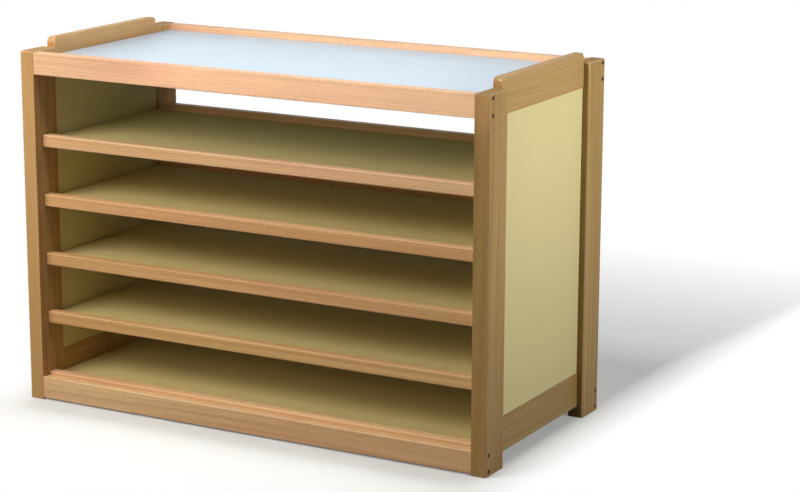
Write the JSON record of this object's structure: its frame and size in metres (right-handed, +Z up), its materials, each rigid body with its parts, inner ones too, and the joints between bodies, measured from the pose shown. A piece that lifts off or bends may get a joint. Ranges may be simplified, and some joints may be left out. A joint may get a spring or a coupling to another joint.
{
  "type": "shelving unit",
  "caption": "Low open shelving unit with framed panel sides, equally spaced lipped shelves and a sunk tray top between raised side rails, standing on its posts.",
  "frame": {"origin": "on the floor, in the middle of the width and of the depth", "axes": "+X along the width to the viewer's right, -Y out of the open front, +Z up"},
  "size_m": [1.05, 0.5, 0.74],
  "materials": {
    "beech": "clear satin lacquer on solid beech",
    "panel_laminate": "matte pale yellow-green laminate on board",
    "shelf_laminate": "matte pale yellow-green laminate on board",
    "top_laminate": "satin pale blue laminate on board",
    "dark_screw": "dark bronzed steel",
    "zinc_screw": "zinc-plated steel",
    "pin_steel": "nickel-plated steel"
  },
  "bodies": {
    "frame": {"front_left_post": "beech", "front_right_post": "beech", "rear_left_post": "beech", "rear_right_post": "beech", "left_lower_side_rail": "beech", "left_upper_side_rail": "beech", "right_lower_side_rail": "beech", "right_upper_side_rail": "beech", "front_lower_cross_rail": "beech", "front_upper_cross_rail": "beech", "rear_lower_cross_rail": "beech", "rear_upper_cross_rail": "beech", "top_left_cleat": "beech", "top_right_cleat": "beech", "top_front_cleat": "beech", "top_rear_cleat": "beech", "bottom_left_cleat": "beech", "bottom_right_cleat": "beech", "bottom_shelf_front_lip": "beech", "bottom_shelf_rear_lip": "beech", "left_side_panel": "panel_laminate", "right_side_panel": "panel_laminate", "bottom_shelf_board": "shelf_laminate", "top_board": "top_laminate", "cross_rail_screws": "dark_screw", "cleat_screws": "zinc_screw", "board_screws": "zinc_screw", "shelf_pins": "pin_steel"},
    "shelf_1": {"shelf_1_board": "shelf_laminate", "shelf_1_front_lip": "beech", "shelf_1_rear_lip": "beech"},
    "shelf_2": {"shelf_2_board": "shelf_laminate", "shelf_2_front_lip": "beech", "shelf_2_rear_lip": "beech"},
    "shelf_3": {"shelf_3_board": "shelf_laminate", "shelf_3_front_lip": "beech", "shelf_3_rear_lip": "beech"},
    "shelf_4": {"shelf_4_board": "shelf_laminate", "shelf_4_front_lip": "beech", "shelf_4_rear_lip": "beech"}
  },
  "joints": [
    {"name": "shelf_1_draw", "type": "slide", "parent": "frame", "child": "shelf_1", "axis": [0, -1, 0], "range_m": [0, 0.46]},
    {"name": "shelf_2_draw", "type": "slide", "parent": "frame", "child": "shelf_2", "axis": [0, -1, 0], "range_m": [0, 0.46]},
    {"name": "shelf_3_draw", "type": "slide", "parent": "frame", "child": "shelf_3", "axis": [0, -1, 0], "range_m": [0, 0.46]},
    {"name": "shelf_4_draw", "type": "slide", "parent": "frame", "child": "shelf_4", "axis": [0, -1, 0], "range_m": [0, 0.46]}
  ]
}
